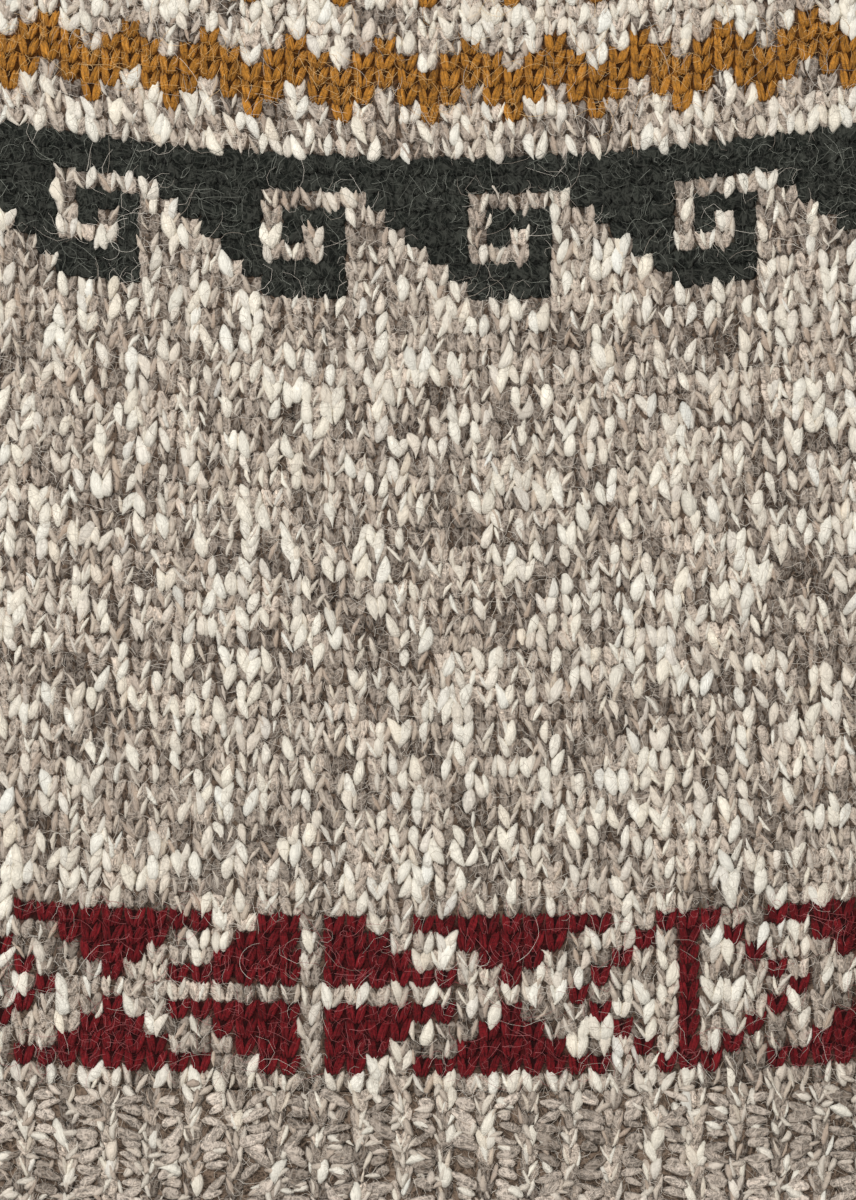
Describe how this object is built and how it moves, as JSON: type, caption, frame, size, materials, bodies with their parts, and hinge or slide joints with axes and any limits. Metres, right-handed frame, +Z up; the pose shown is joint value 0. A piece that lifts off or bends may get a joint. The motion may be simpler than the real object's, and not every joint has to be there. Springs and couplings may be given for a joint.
{
  "type": "knitted jacquard sweater",
  "caption": "Chunky hand-knit raglan sweater laid flat, with patterned bands round the chest and above the hem, ribbed hem, cuffs and neckband.",
  "frame": {"origin": "on the surface the sweater lies on, under the middle of its overall length and width", "axes": "+Z up out of the front panel, +Y from the hem towards the neck, +X towards the viewer's right sleeve"},
  "size_m": [1.3542, 0.6399, 0.0128],
  "materials": {
    "marled_wool": "matte",
    "rib_wool": "matte",
    "green_wool": "matte",
    "mustard_wool": "matte",
    "red_wool": "matte"
  },
  "bodies": {
    "root": {"front": "marled_wool", "back": "marled_wool", "sleeve_left": "marled_wool", "sleeve_right": "marled_wool", "hem_rib_front": "rib_wool", "hem_rib_back": "rib_wool", "cuff_left": "rib_wool", "cuff_right": "rib_wool", "neckband_front": "rib_wool", "neckband_back": "rib_wool"}
  },
  "joints": []
}
